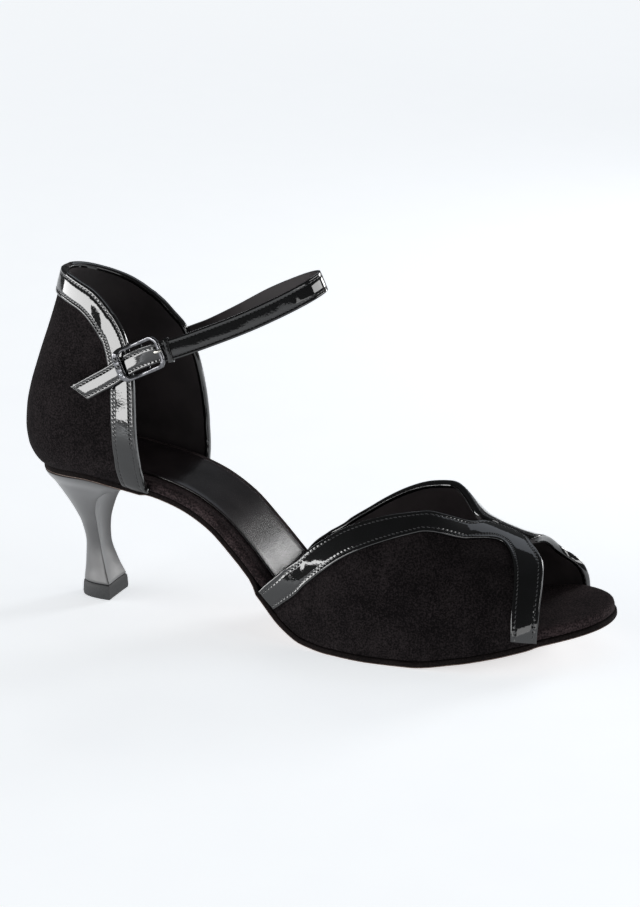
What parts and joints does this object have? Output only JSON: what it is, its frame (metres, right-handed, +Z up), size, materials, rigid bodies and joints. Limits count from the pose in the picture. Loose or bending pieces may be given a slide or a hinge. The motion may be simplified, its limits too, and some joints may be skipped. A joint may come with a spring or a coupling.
{
  "type": "ballroom dance shoe",
  "caption": "Right ballroom dance shoe: closed suede counter, open waist, peep-toe vamp, patent trims, buckled ankle strap and flared heel with a rubber tip.",
  "frame": {"origin": "on the floor, at the middle of the heel tip's ground face", "axes": "+X forward to the toe along the shoe's length, +Y to the inner (medial) side of the foot, +Z up"},
  "size_m": [0.2345, 0.0776, 0.1373],
  "materials": {
    "outsole_suede": "brushed chrome suede",
    "insole_cover": "suede",
    "sock_leather": "smooth, half gloss",
    "heel_lacquer": "gloss lacquer",
    "tip_rubber": "matte",
    "upper_suede": "suede",
    "patent_leather": "high gloss patent",
    "buckle_metal": "polished dark nickel",
    "stone_glass": "cut and polished"
  },
  "bodies": {
    "root": {"outsole": "outsole_suede", "insole": "insole_cover", "sock_lining": "sock_leather", "heel": "heel_lacquer", "heel_tip": "tip_rubber", "counter": "upper_suede", "vamp": "upper_suede", "counter_trim": "patent_leather", "vamp_trim_lateral": "patent_leather", "vamp_trim_medial": "patent_leather", "ankle_strap": "patent_leather", "buckle_tab": "patent_leather", "strap_keeper": "patent_leather", "buckle_frame": "buckle_metal", "buckle_prong": "buckle_metal", "buckle_stone_upper": "stone_glass", "buckle_stone_middle": "stone_glass", "buckle_stone_lower": "stone_glass"}
  },
  "joints": []
}
